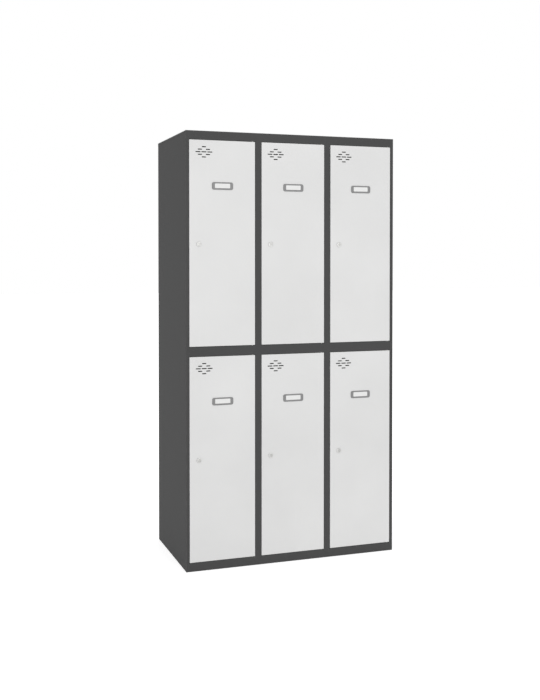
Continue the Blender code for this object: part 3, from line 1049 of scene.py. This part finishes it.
@dataclass
class FrontFrame(SubAssembly):
    """The welded frame: a face with six openings, a return round each, and a stop brim."""

    jamb: float = 0.022
    brim: float = 0.008
    flange: float = 0.010

    def lines(self, axis: int) -> list[float]:
        """List the places of the frame's outer edges and openings.

        Args:
            axis: 0 for across and 2 for up.

        Returns:
            The places along that axis, in order.
        """
        low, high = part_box("front_frame")
        # They are rounded so that doors in line give each edge once.
        edges = sorted({round(end[axis], 5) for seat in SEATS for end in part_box(f"door_{seat}")})
        gaps = (-DOOR_GAP, DOOR_GAP) * len(edges)
        return [low[axis], *(edge + gap for edge, gap in zip(edges, gaps)), high[axis]]

    def line_opening(self, bm: BMesh, ring: list[BMVert]) -> None:
        """Fold the return and the stop brim of one opening.

        Args:
            bm: The frame's surface.
            ring: The opening's corners, in order.
        """
        centre = sum((vert.co for vert in ring), Vector()) / 4
        for push, shrink in ((self.jamb, 0.0), (0.0, self.brim)):
            deeper = []
            for vert in ring:
                inwards = centre - vert.co
                deeper.append(bm.verts.new(vert.co + Vector((
                    math.copysign(shrink, inwards.x), push, math.copysign(shrink, inwards.z)))))
            for index in range(4):
                bm.faces.new((ring[index - 1], ring[index], deeper[index], deeper[index - 1]))
            ring = deeper

    def surface(self) -> BMesh:
        """Fold the frame's outer face.

        Returns:
            It as a surface, with its folds marked.
        """
        bm = bmesh.new()
        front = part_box("front_frame")[0].y
        grid = [[bm.verts.new((x, front, z)) for x in self.lines(0)] for z in self.lines(2)]
        for row, (lower, upper) in enumerate(zip(grid, grid[1:])):
            for column in range(len(lower) - 1):
                ring = [*lower[column:column + 2], upper[column + 1], upper[column]]
                if row % 2 and column % 2:
                    self.line_opening(bm, ring)
                else:
                    bm.faces.new(ring)
        flat = front + SHEET.thickness
        rim = [
            edge for edge in bm.edges
            if edge.is_boundary and all(vert.co.y < flat for vert in edge.verts)]
        new = bmesh.ops.extrude_edge_only(bm, edges=rim)["geom"]
        outer = [item for item in new if isinstance(item, BMVert)]
        bmesh.ops.translate(bm, vec=(0, self.flange, 0), verts=outer)
        bmesh.ops.recalc_face_normals(bm, faces=bm.faces)
        if next(iter(bm.faces)).normal.y > 0:
            bmesh.ops.reverse_faces(bm, faces=bm.faces)
        bm.normal_update()
        level = [
            edge for edge in bm.edges
            if len(edge.link_faces) == 2 and edge.calc_face_angle() > SMOOTH_ANGLE
            and abs(edge.verts[0].co.y - edge.verts[1].co.y) < SHEET.thickness]
        SHEET.fold(bm, level)
        return bm

    def build(self) -> None:
        """Build the frame and drill it for the hinge pins."""
        drills = []
        for pin in (f"hinge_pin_{end}_{seat}" for seat in SEATS for end in ("top", "bottom")):
            low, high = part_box(pin)
            drills.append(moved(drill(PIN_HOLE, (high.z - low.z) / 2), middle(pin)))
        mesh = cut(SHEET.thicken(self.surface()), drills)
        self.shop.add("frame_face", mesh, CARCASS, Slot.BODY, "front_frame")


@dataclass
class Carcass(SubAssembly):
    """The folded panels behind the frame."""

    rivet_pitch: float = 0.148
    rivet_inset: float = 0.0052
    rivet_end: float = 0.06
    shelf_end: float = 0.045
    # The pitch of three rivets as a share of their seam. At a half, the last can drop off.
    shelf_pitch: float = 0.4999

    panels: ClassVar[dict[str, tuple[Side, ...]]] = {
        "left_side_panel": (Side.RIGHT, Side.TOP, Side.FRONT),
        "right_side_panel": (Side.LEFT, Side.TOP, Side.FRONT),
        "top_panel": (Side.BOTTOM, Side.FRONT),
        "base_panel": (Side.BOTTOM,),
        "partition_1": (Side.LEFT, Side.TOP, Side.BOTTOM, Side.BACK),
        "partition_2": (Side.LEFT, Side.TOP, Side.BOTTOM, Side.BACK),
        **{shelf: (Side.BOTTOM,) for shelf in SHELVES},
    }

    def back_rivets(self) -> Mesh:
        """Set the rivets that hold the back panel to the flanges, shelves and base.

        Returns:
            All the rivets.
        """
        low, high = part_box("top_panel")
        left, right = low.x + self.rivet_inset, high.x - self.rivet_inset
        upper, end = high.z - self.rivet_inset, self.rivet_end
        seams = [((x, high.y, end), (x, high.y, low.z - end)) for x in (left, right)]
        seams.append(((left + end, high.y, upper), (right - end, high.y, upper)))
        rows = [self.shop.along(RIVET, seams, Side.BACK, self.rivet_pitch)]
        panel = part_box("back_panel")[1].y
        for shelf in SHELVES:
            first, last = (corner.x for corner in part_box(shelf))
            first, last = first + self.shelf_end, last - self.shelf_end
            seams = [
                ((first, panel, middle(node).z), (last, panel, middle(node).z))
                for node in ("base_panel", shelf)]
            pitch = (last - first) * self.shelf_pitch
            rows.append(self.shop.along(RIVET, seams, Side.BACK, pitch))
        return joined(rows)

    def build(self) -> None:
        """Build the panels and rivet the back on."""
        meshes = {node: FoldedSheet(node, sides).build() for node, sides in self.panels.items()}
        meshes["back_panel"] = settle(bar(*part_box("back_panel")), SHEET.breaking)
        for node, mesh in meshes.items():
            self.shop.add(f"{node}_sheet", mesh, CARCASS, Slot.BODY, node)
        self.shop.add("back_rivets", self.back_rivets(), CARCASS, Slot.ZINC)


@dataclass
class DoorLeaf(SubAssembly):
    """A folded door pan with its vent, lock hole and pin holes, and its stiffener."""

    lip: float = 0.010
    stiffener_lip: float = 0.008
    slot_length: float = 0.0178
    triple_length: float = 0.0212
    slot_height: float = 0.0040
    slot_steps: int = 5
    pair_pitch: float = 0.0342
    triple_pitch: float = 0.0250
    row_pitch: float = 0.0104
    vent_from_left: float = 0.062
    vent_from_top: float = 0.0485
    roll: float = 0.0013
    roll_depth: float = 0.0007
    roll_steps: int = 4
    lock_hole: float = 0.0083
    lock_hole_sides: int = 40
    lock_drill_reach: float = 0.004
    pin_drill_reach: float = 0.003

    def slot(self, length: float, grow: float) -> Outline:
        """Return a slot's outline, grown on all sides."""
        height = self.slot_height + 2 * grow
        return rounded(length + 2 * grow, height, height / 2 * ROUND_END, self.slot_steps)

    def rim(self, length: float) -> Mesh:
        """Roll the rim of one slot.

        Args:
            length: The slot's length.

        Returns:
            The rim, flush with the sheet at its outer edge.
        """
        turns = [QUARTER * step / self.roll_steps for step in range(self.roll_steps + 1)]
        loops = []
        for depth, order in ((0.0, turns), (SHEET.thickness, turns[::-1])):
            for turn in order:
                outline = self.slot(length, self.roll * (1 - math.sin(turn)))
                loops.append((outline, depth + self.roll_depth * (1 - math.cos(turn))))
        return loft(loops, closed=True)

    def tool(self, length: float) -> Mesh:
        """Return the shape that punches one slot and its rim's seat."""
        outline = self.slot(length, self.roll)
        return loft([(outline, -self.roll), (outline, 2 * self.roll)])

    @cached_property
    def pan(self) -> Mesh:
        """Fold, punch and drill the pan of the first compartment.

        Returns:
            The pan's mesh, in place.
        """
        seat = SEATS[0]
        low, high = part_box(f"door_{seat}")
        sheet = FoldedSheet(f"door_{seat}", (Side.BACK,), self.lip).build()
        punched = self.shop.vent.bake(sheet, {
            "Tool": self.tool(self.slot_length), "Rim": self.rim(self.slot_length),
            "Long tool": self.tool(self.triple_length), "Long rim": self.rim(self.triple_length),
            "Centre": Vector((low.x + self.vent_from_left, low.y, high.z - self.vent_from_top)),
            "Pair pitch": self.pair_pitch, "Triple pitch": self.triple_pitch,
            "Row pitch": self.row_pitch, "Finish": LIGHT_GREY.material})
        lock, pin = middle(f"lock_housing_{seat}"), middle(f"hinge_pin_top_{seat}")
        bore = drill(self.lock_hole, self.lock_drill_reach, self.lock_hole_sides)
        hole = drill(PIN_HOLE, self.pin_drill_reach)
        return cut(punched, [
            moved(bore, Vector((lock.x, low.y, lock.z)), QUARTER),
            *(moved(hole, Vector((pin.x, pin.y, z))) for z in (low.z, high.z))])

    def fit(self, seat: str) -> None:
        """Fit one compartment with its door and stiffener.

        Args:
            seat: The compartment.
        """
        door, stiffener, leaf = f"door_{seat}", f"door_stiffener_{seat}", f"leaf_{seat}"
        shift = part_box(door)[0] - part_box(f"door_{SEATS[0]}")[0]
        self.shop.add(f"door_pan_{seat}", moved(self.pan, shift), leaf, Slot.DOOR, door)
        channel = FoldedSheet(stiffener, (Side.FRONT,), self.stiffener_lip).build()
        self.shop.add(f"stiffener_channel_{seat}", channel, leaf, Slot.DOOR, stiffener)


@dataclass
class CardHolder(SubAssembly):
    """A moulded holder with a round-edged band and a blank card behind it."""

    corner: float = 0.008
    least_corner: float = 0.0008
    corner_steps: int = 6
    band: float = 0.0050
    foot_band: float = 0.0065
    end_band: float = 0.0120
    floor: float = 0.0008
    card_gap: float = 0.0003
    card_thickness: float = 0.0003
    # The band's section: 0 at its outside or 1 at the window, how far in from there, and
    # how deep, as a share of the holder's depth.
    section: tuple[Triple, ...] = (
        (0, 0.0, 1.0), (0, 0.0, 0.45), (0, 0.0006, 0.15), (0, 0.0016, 0.0), (1, -0.0016, 0.0),
        (1, -0.0008, 0.1), (1, -0.0003, 0.3), (1, 0.0, 0.45))

    def outline(self, size: Vector, share: float, offset: float) -> Outline:
        """Return an outline of the holder.

        Args:
            size: The holder's size.
            share: How far it lies across the band, from 0 outside to 1 at the window.
            offset: How far it lies further in than that.

        Returns:
            The outline's points.
        """
        width = size.x - 2 * (share * self.end_band + offset)
        height = size.z - share * (self.band + self.foot_band) - 2 * offset
        radius = max(self.corner - share * self.band - offset, self.least_corner)
        rise = share * (self.foot_band - self.band) / 2
        return [(x, z + rise) for x, z in rounded(width, height, radius, self.corner_steps)]

    def fit(self, seat: str) -> None:
        """Fit one door with its holder and card.

        Args:
            seat: The compartment.
        """
        node = f"card_holder_{seat}"
        low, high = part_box(node)
        size, depth = high - low, high.y - low.y
        back = depth - self.floor
        loops = [
            (self.outline(size, share, offset), depth * place)
            for share, offset, place in self.section]
        body = loft([*loops, (self.outline(size, 1, 0.0), back)])
        shape = self.outline(size, 1, self.card_gap)
        card = loft([(shape, back), (shape, back - self.card_thickness)])
        place = middle(node)
        place.y = low.y
        mesh = joined([dressed(body, PLASTIC), dressed(card, CARD_STOCK)])
        self.shop.add(
            f"holder_frame_{seat}", moved(mesh, place), f"leaf_{seat}", Slot.HOLDER, node)


@dataclass
class CylinderLock(SubAssembly):
    """A cam lock: collar, threaded barrel, hexagon nut, plug with a keyway, and cam.

    Its parts are turned about Z, with the door's face at zero and the keyway on top.
    """

    collar: float = 0.010
    collar_depth: float = 0.0028
    # The collar's rounding: in from its rim, and down from its front.
    collar_round: Outline = ((0.0022, 0.0), (0.0012, 0.00015), (0.0004, 0.0006), (0.0, 0.0013))
    collar_lift: float = 0.0003
    collar_edge: float = 0.0001
    barrel: float = 0.008
    barrel_edge: Pair = (0.0004, 0.0005)
    bore: float = 0.0063
    bore_edge: float = 0.0002
    housing_sides: int = 48
    plug: float = 0.006
    plug_sink: float = 0.0004
    plug_edge: Pair = (0.0005, 0.0004)
    plug_sides: int = 36
    nut_front: float = 0.0011
    nut_depth: float = 0.004
    nut_corner: float = 0.012
    nut_flat: float = 0.9
    nut_edge: float = 0.0007
    keyway: float = 0.0012
    keyway_height: float = 0.007
    keyway_depth: float = 0.003
    cam_width: float = 0.016
    cam_thickness: float = 0.0025
    cam_edge: float = 0.0004
    cam_steps: int = 10
    thread_pitch: float = 0.0011
    thread_start: float = 0.0008
    thread_end: float = 0.001
    ridge: float = 0.00035
    # The bolt's outline from the back of the cam: hexagon head and washer.
    bolt: Outline = (
        (0, -0.0016), (0.0034, -0.0016), (0.004, -0.0012), (0.004, -0.0002), (0.0052, -0.0002),
        (0.0052, 0.0004), (0, 0.0004))

    def housing(self, length: float) -> Mesh:
        """Build the collar, barrel, thread and nut.

        Args:
            length: From the door's face to the barrel's back.

        Returns:
            The mesh.
        """
        front, rim, lift, edge = self.collar_depth, self.collar, self.collar_lift, self.collar_edge
        root = self.barrel - self.ridge
        narrower, shorter = self.barrel_edge
        body = Turning((
            (self.bore, front - self.bore_edge), (self.bore + self.bore_edge, front),
            *((rim - inwards, front - down) for inwards, down in self.collar_round),
            (rim, lift + edge), (rim - edge, lift), (root, lift), (root, -length + shorter),
            (root - narrower, -length), (self.bore, -length)), self.housing_sides).build()
        thread = self.shop.thread.bake(bpy.data.meshes.new("thread"), {
            "Radius": root, "Length": length - self.nut_front - self.thread_end,
            "Pitch": self.thread_pitch, "Ridge": self.ridge, "Finish": ZINC_PLATE.material})
        thread = moved(thread, Vector((0, 0, -length + self.thread_start)))
        return joined([dressed(body, NICKEL), thread, dressed(self.nut(), ZINC_PLATE)])

    def nut(self) -> Mesh:
        """Build the nut behind the door's face.

        Returns:
            The nut.
        """
        front, back = -self.nut_front, -self.nut_front - self.nut_depth
        corner, flat, edge = self.nut_corner, self.nut_corner * self.nut_flat, self.nut_edge
        return Turning((
            (self.barrel, front), (flat, front), (corner, front - edge), (corner, back + edge),
            (flat, back), (self.barrel, back)), HEXAGON).build()

    def turning_part(self, length: float, reach: float) -> Mesh:
        """Build the plug, cam and bolt, with the cam pointing along -Y.

        Args:
            length: From the door's face to the back of the cam.
            reach: From the axis to the cam's tip.

        Returns:
            The mesh.
        """
        face, foot = self.collar_depth - self.plug_sink, self.cam_thickness - length
        narrower, lower = self.plug_edge
        plug = Turning((
            (0, face), (self.plug - narrower, face), (self.plug, face - lower),
            (self.plug, foot), (0, foot)), self.plug_sides).build()
        plug = cut(plug, [bar(
            Vector((-self.keyway / 2, -self.keyway_height / 2, face - self.keyway_depth)),
            Vector((self.keyway / 2, self.keyway_height / 2, 2 * self.collar_depth)))])
        half, thickness, edge = self.cam_width / 2, self.cam_thickness, self.cam_edge
        inner, outer = (
            rounded(
                2 * (half - inset), reach + half - 2 * inset, half * ROUND_END - inset,
                self.cam_steps)
            for inset in (edge, 0.0))
        cam = loft([(inner, 0.0), (outer, edge), (outer, thickness - edge), (inner, thickness)])
        cam = moved(cam, Vector((0, (half - reach) / 2, -length)), QUARTER)
        outline = [(radius, height - length) for radius, height in self.bolt]
        bolt = Turning(outline, HEXAGON).build()
        return joined([
            dressed(plug, NICKEL_SILVER), dressed(cam, ZINC_PLATE), dressed(bolt, ZINC_PLATE)])

    def fit(self, seat: str) -> None:
        """Fit one door with its lock.

        Args:
            seat: The compartment.
        """
        barrel, cam = f"lock_housing_{seat}", f"lock_cam_{seat}"
        cam_low, cam_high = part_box(cam)
        place = middle(barrel)
        height = place.z - cam_low.z
        face = place.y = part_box(f"door_{seat}")[0].y
        housing = moved(self.housing(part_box(barrel)[1].y - face), place, QUARTER)
        self.shop.add(f"lock_barrel_{seat}", housing, f"leaf_{seat}", Slot.LOCK, barrel)
        plug = moved(self.turning_part(cam_high.y - face, height), place, QUARTER)
        self.shop.add(f"lock_plug_{seat}", plug, f"lock_{seat}", Slot.ZINC, cam)


@dataclass
class HingePins(SubAssembly):
    """Riveted pins with a bearing collar, measured outwards from the frame's return."""

    shank: float = 0.0025
    head: float = 0.0037
    head_foot: float = 0.0011
    edge: float = 0.0004
    # The dome's middle ring: a share of the head's radius, and a share of the edge down.
    dome: Pair = (0.55, 0.4)
    collar_top: float = -0.0003
    collar_bottom: float = -0.0017
    sides: int = 20

    def fit(self, seat: str) -> None:
        """Fit one door with its two pins.

        Args:
            seat: The compartment.
        """
        shank, rim, foot, edge = self.shank, self.head, self.head_foot, self.edge
        above, below = self.collar_top, self.collar_bottom
        for end, sign in (("top", 1), ("bottom", -1)):
            node = f"hinge_pin_{end}_{seat}"
            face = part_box(f"door_{seat}")[max(sign, 0)].z + sign * DOOR_GAP
            bottom, top = sorted(sign * (corner.z - face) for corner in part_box(node))
            mesh = Turning((
                (0, top), (rim * self.dome[0], top - edge * self.dome[1]),
                (rim - edge, top - 2 * edge), (rim, top - 3 * edge), (rim, foot), (shank, foot),
                (shank, above), (rim - edge, above), (rim, above - edge), (rim, below + edge),
                (rim - edge, below), (shank, below), (shank, bottom + edge),
                (shank - edge, bottom), (0, bottom)), self.sides).build()
            place = middle(node)
            place.z = face
            mesh = moved(mesh, place, 0.0 if sign > 0 else math.pi)
            self.shop.add(f"pin_{end}_{seat}", mesh, CARCASS, Slot.ZINC, node)


@dataclass
class HangingRails(SubAssembly):
    """A drawn tube between two pressed sockets, each held by two screws."""

    tube: float = 0.009
    tube_gap: float = 0.0003
    tube_sink: float = 0.0004
    cup: float = 0.0112
    cup_depth: float = 0.007
    cup_foot: float = 0.001
    cup_edge: float = 0.0008
    plate: float = 0.002
    plate_edge: float = 0.0006
    screw_circle: float = 0.0133
    sides: int = 40

    def rail(self, length: float, radius: float) -> Mesh:
        """Turn the tube and its sockets about Z.

        Args:
            length: From wall to wall.
            radius: The radius of the sockets' plates.

        Returns:
            The mesh.
        """
        wall, edge, cup, foot = length / 2, self.plate_edge, self.cup, self.cup_foot
        inner, mouth = wall - self.plate, wall - self.cup_depth
        end = [
            (0, wall), (radius - edge, wall), (radius, wall - edge), (radius, inner + edge),
            (radius - edge, inner), (cup + foot, inner), (cup, inner - foot),
            (cup, mouth + self.cup_edge), (cup - self.cup_edge, mouth),
            (self.tube + self.tube_gap, mouth), (self.tube, mouth + self.tube_sink)]
        return Turning([*end, *((ring, -place) for ring, place in end[::-1])], self.sides).build()

    def fit(self, seat: str) -> None:
        """Fit one compartment with its rail and screws.

        Args:
            seat: The compartment.
        """
        node = f"hanging_rail_{seat}"
        low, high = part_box(node)
        centre = middle(node)
        mesh = moved(self.rail(high.x - low.x, (high.z - low.z) / 2), centre, QUARTER, "Y")
        self.shop.add(f"rail_tube_{seat}", mesh, CARCASS, Slot.RAIL, node)
        rows = []
        for x, facing in ((low.x + self.plate, Side.RIGHT), (high.x - self.plate, Side.LEFT)):
            first, last = (
                (x, centre.y + way * self.screw_circle, centre.z) for way in (-1, 1))
            rows.append(self.shop.along(SCREW, [(first, last)], facing, 2 * self.screw_circle))
        self.shop.add(f"rail_screws_{seat}", joined(rows), CARCASS, Slot.ZINC)


@dataclass
class Studio:
    """A plain pale floor, soft white light and the camera."""

    eye: Vector = Vector((-1.449, -4.077, 1.286))
    yaw: float = math.radians(-19.36)
    pitch: float = math.radians(-1.17)
    lens_pixels: float = 972.0
    horizon: float = 277.0
    frame_height: float = 700.0
    sensor: float = 36.0
    floor_size: float = 60.0
    floor_cells: int = 8
    floor_drop: float = 0.0005
    surround: float = 1.0
    lamp_size: float = 6.0
    lamp_power: float = 240.0
    lamp_place: Vector = Vector((0.6, -8.5, 3.2))
    lamp_aim: Vector = Vector((0, 0, 0.9))

    def floor(self) -> None:
        """Lay the floor."""
        bm = bmesh.new()
        cells = self.floor_cells
        bmesh.ops.create_grid(bm, x_segments=cells, y_segments=cells, size=self.floor_size / 2)
        floor = placed(dressed(to_mesh(bm), FloorFinish("studio_floor")))
        floor.name = "floor"
        floor.location = (0, 0, -self.floor_drop)

    def light(self) -> None:
        """Light the scene evenly from all round, with a wide soft lamp in front."""
        world = bpy.data.worlds.new("studio")
        world.use_nodes = True
        tree = Tree(world.node_tree)
        white = tree.node("ShaderNodeBackground", {
            "Color": (1, 1, 1, 1), "Strength": self.surround})
        tree.node("ShaderNodeOutputWorld", {"Surface": white})
        bpy.context.scene.world = world
        lamp = bpy.data.lights.new("soft_front", "AREA")
        lamp.size = self.lamp_size
        lamp.energy = self.lamp_power
        holder = placed(lamp)
        holder.location = self.lamp_place
        aim = self.lamp_aim - self.lamp_place
        holder.rotation_euler = aim.to_track_quat("-Z", "Y").to_euler()
        bpy.context.scene.view_settings.view_transform = "Standard"

    def camera(self) -> None:
        """Set the camera where the photograph was taken from."""
        data = bpy.data.cameras.new("camera")
        data.sensor_width = self.sensor
        data.sensor_fit = "AUTO"
        data.lens = self.lens_pixels / self.frame_height * data.sensor_width
        data.shift_y = (self.horizon - self.frame_height / 2) / self.frame_height
        camera = placed(data)
        camera.location = self.eye
        camera.rotation_euler = (QUARTER + self.pitch, 0, self.yaw)
        bpy.context.scene.camera = camera

    def build(self) -> None:
        """Set up the whole studio."""
        self.floor()
        self.light()
        self.camera()


def write_sizes() -> None:
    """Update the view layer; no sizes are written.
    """
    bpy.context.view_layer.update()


def main() -> None:
    """Build the locker's looks, piece by piece."""
    logging.basicConfig(level=logging.INFO, format="%(name)s: %(message)s")
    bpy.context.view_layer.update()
    Studio().build()
    shop = Shop()
    for part in (FrontFrame, Carcass, DoorLeaf, CardHolder, CylinderLock, HingePins, HangingRails):
        part(shop).build()
    write_sizes()


if __name__ == "__main__":
    main()
